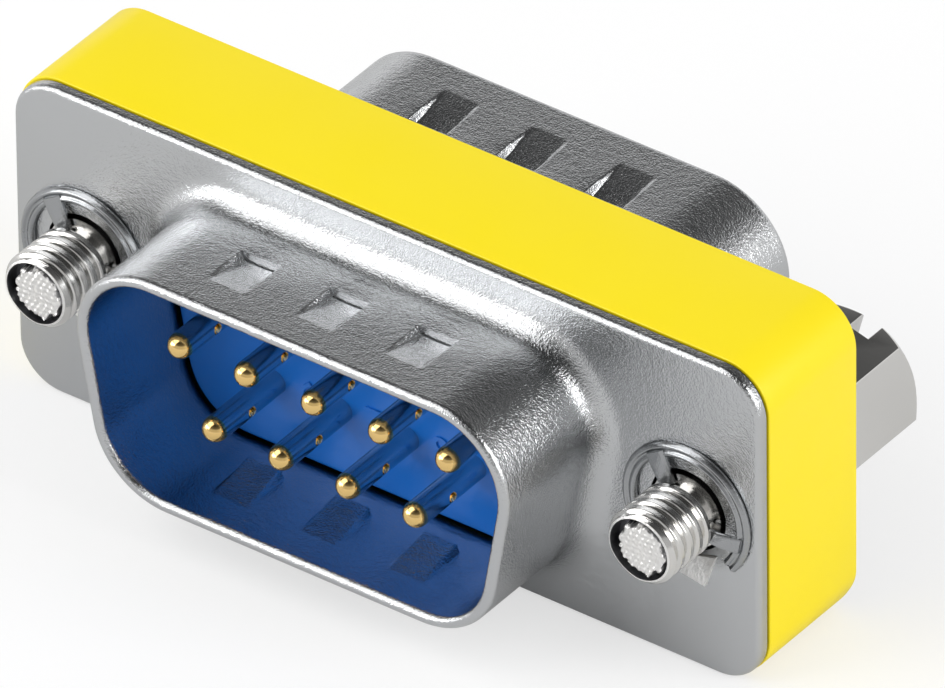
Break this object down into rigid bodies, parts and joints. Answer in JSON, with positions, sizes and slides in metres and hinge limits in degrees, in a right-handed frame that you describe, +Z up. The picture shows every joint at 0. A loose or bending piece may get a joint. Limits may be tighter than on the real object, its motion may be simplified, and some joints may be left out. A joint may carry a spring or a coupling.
{
  "type": "d-sub gender changer",
  "caption": "Short adapter with a D-shaped pin plug at its front and at its rear, a yellow band around the body between them, and captive jackscrews.",
  "frame": {"origin": "on the standing face, under the middle of the part", "axes": "+X along the rows of contacts, -Y out of the front plug, +Y out of the rear plug, +Z up on the side of the longer row"},
  "size_m": [0.0308, 0.0162, 0.0126],
  "materials": {
    "plated_shell": "satin nickel plate with fine orange peel",
    "blue_insulator": "semi-gloss moulded plastic",
    "gold_contact": "polished gold plate",
    "circuit_board": "solder mask",
    "dark_frame": "moulded plastic",
    "yellow_band": "semi-gloss vinyl",
    "bright_screw": "bright nickel plate",
    "spring_steel": "plated spring steel"
  },
  "bodies": {
    "changer": {"front_shell": "plated_shell", "rear_shell": "plated_shell", "front_insulator": "blue_insulator", "rear_insulator": "blue_insulator", "front_contact_1": "gold_contact", "front_contact_2": "gold_contact", "front_contact_3": "gold_contact", "front_contact_4": "gold_contact", "front_contact_5": "gold_contact", "front_contact_6": "gold_contact", "front_contact_7": "gold_contact", "front_contact_8": "gold_contact", "front_contact_9": "gold_contact", "rear_contact_1": "gold_contact", "rear_contact_2": "gold_contact", "rear_contact_3": "gold_contact", "rear_contact_4": "gold_contact", "rear_contact_5": "gold_contact", "rear_contact_6": "gold_contact", "rear_contact_7": "gold_contact", "rear_contact_8": "gold_contact", "rear_contact_9": "gold_contact", "crossover_board": "circuit_board", "spacer_frame": "dark_frame", "label_band": "yellow_band"},
    "left_screw": {"left_jackscrew": "bright_screw", "left_retaining_clip": "spring_steel"},
    "right_screw": {"right_jackscrew": "bright_screw", "right_retaining_clip": "spring_steel"}
  },
  "joints": [
    {"name": "left_screw_turn", "type": "hinge", "parent": "changer", "child": "left_screw", "pos_m": [-0.01249, 0, 0.0063], "axis": [0, -1, 0], "continuous": true},
    {"name": "right_screw_turn", "type": "hinge", "parent": "changer", "child": "right_screw", "pos_m": [0.01249, 0, 0.0063], "axis": [0, -1, 0], "continuous": true}
  ]
}
